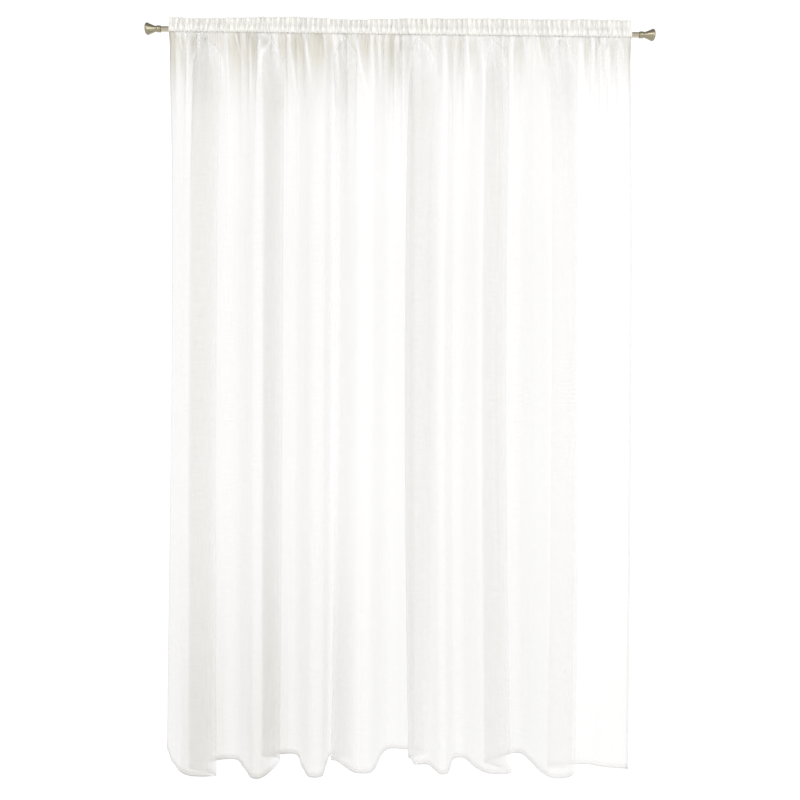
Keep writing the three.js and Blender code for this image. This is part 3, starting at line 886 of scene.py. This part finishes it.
def build_stage():
    """A plain pale floor that curves up into a bright white wall, clear when seen from its back."""
    material, tree = new_material("white_backdrop")
    matte = add(tree, "ShaderNodeBsdfDiffuse", {0: linear("#f6f6f6")})
    bright = add(tree, "ShaderNodeEmission", {0: linear("#fefeff"), 1: BRIGHTNESS})
    both = add(tree, "ShaderNodeMixShader",
               {0: BRIGHT_SHARE, 1: matte.outputs[0], 2: bright.outputs[0]})
    back = add(tree, "ShaderNodeNewGeometry").outputs["Backfacing"]
    clear = add(tree, "ShaderNodeBsdfTransparent")
    one_way = add(tree, "ShaderNodeMixShader", {0: back, 1: both.outputs[0], 2: clear.outputs[0]})
    add(tree, "ShaderNodeOutputMaterial", {0: one_way.outputs[0]})
    foot, centre = WALL_PLACE - WALL_BEND, FLOOR_LEVEL + WALL_BEND
    line = [(FLOOR_FRONT, FLOOR_LEVEL), (foot, FLOOR_LEVEL)]
    for k in range(1, WALL_BEND_STEPS + 1):
        a = k / WALL_BEND_STEPS * math.pi / 2
        line.append((foot + WALL_BEND * math.sin(a), centre - WALL_BEND * math.cos(a)))
    line.append((WALL_PLACE, WALL_TOP))
    points = [(x, y, z) for y, z in line for x in (-HALF_WIDTH, HALF_WIDTH)]
    faces = [(2 * k, 2 * k + 1, 2 * k + 3, 2 * k + 2) for k in range(len(line) - 1)]
    mesh = bpy.data.meshes.new("backdrop")
    mesh.from_pydata(points, [], faces)
    mesh.shade_smooth()
    mesh.materials.append(material)
    stage = bpy.data.objects.new("backdrop", mesh)
    bpy.context.scene.collection.objects.link(stage)


def area_light(name, place, target, size, power):
    """A white softbox at a place, turned to face its target."""
    lamp = bpy.data.lights.new(name, "AREA")
    lamp.shape = "RECTANGLE"
    lamp.size, lamp.size_y = size
    lamp.energy = power
    lamp.color = linear("#ffffff")[:3]
    light = bpy.data.objects.new(name, lamp)
    light.location = place
    light.rotation_euler = (Vector(target) - Vector(place)).to_track_quat("-Z", "Y").to_euler()
    bpy.context.scene.collection.objects.link(light)


def build_lights():
    """Soft light all round, strongest from the sides, and two softboxes in front of the curtain."""
    world = bpy.data.worlds.new("studio")
    bpy.context.scene.world = world
    world.use_nodes = True
    tree = world.node_tree
    tree.nodes.clear()
    toward = add(tree, "ShaderNodeTexCoord").outputs["Generated"]
    place = add(tree, "ShaderNodeSeparateXYZ", {0: toward})
    steep = add(tree, "ShaderNodeMath", {0: place.outputs[2]}, operation="ABSOLUTE").outputs[0]
    strength = add(tree, "ShaderNodeMapRange", {0: steep, 1: 0.15, 2: 0.85, 3: 0.97, 4: 0.38})
    sky = add(tree, "ShaderNodeBackground", {0: linear("#fefdfb"), 1: strength.outputs[0]})
    add(tree, "ShaderNodeOutputWorld", {0: sky.outputs[0]})
    for lamp in LAMPS:
        area_light(**lamp)


def build_camera():
    """The camera in front of the curtain, level, and turned very slightly to the right."""
    lens = bpy.data.cameras.new("camera")
    lens.sensor_width = CAMERA_SENSOR
    lens.lens = CAMERA_LENS
    camera = bpy.data.objects.new("camera", lens)
    yaw, roll = math.radians(CAMERA_YAW), math.radians(CAMERA_ROLL)
    camera.location = CAMERA_PLACE
    turn = Matrix.Rotation(-yaw, 4, "Z") @ Matrix.Rotation(math.pi / 2, 4, "X")
    camera.rotation_euler = (turn @ Matrix.Rotation(roll, 4, "Z")).to_euler()
    bpy.context.scene.collection.objects.link(camera)
    bpy.context.scene.camera = camera


build_voile(cloth_material("sheer_voile", ("#dfdedc", "#eae9e7"), cover=0.46, glow=0.5))
# The heading's voile is a whiter copy of the panel's, painted light for the shade in its gathers
build_heading(cloth_material("gathered_voile_painted_light", ("#f7f6f1", "#fcfbf8"), cover=0.97, glow=0.15))
build_stitches(thread_material())
build_rod(metal_material("champagne_nickel", ("#b9b29f", "#cac3b0"), rough=0.14))
# The finials get a darker copy of the rod's plating, painted shade
build_ends(metal_material("champagne_nickel_painted_shade", ("#969079", "#a6a08a"), rough=0.33))
build_stage()
build_lights()
build_camera()
bpy.context.scene.view_settings.view_transform = "Standard"
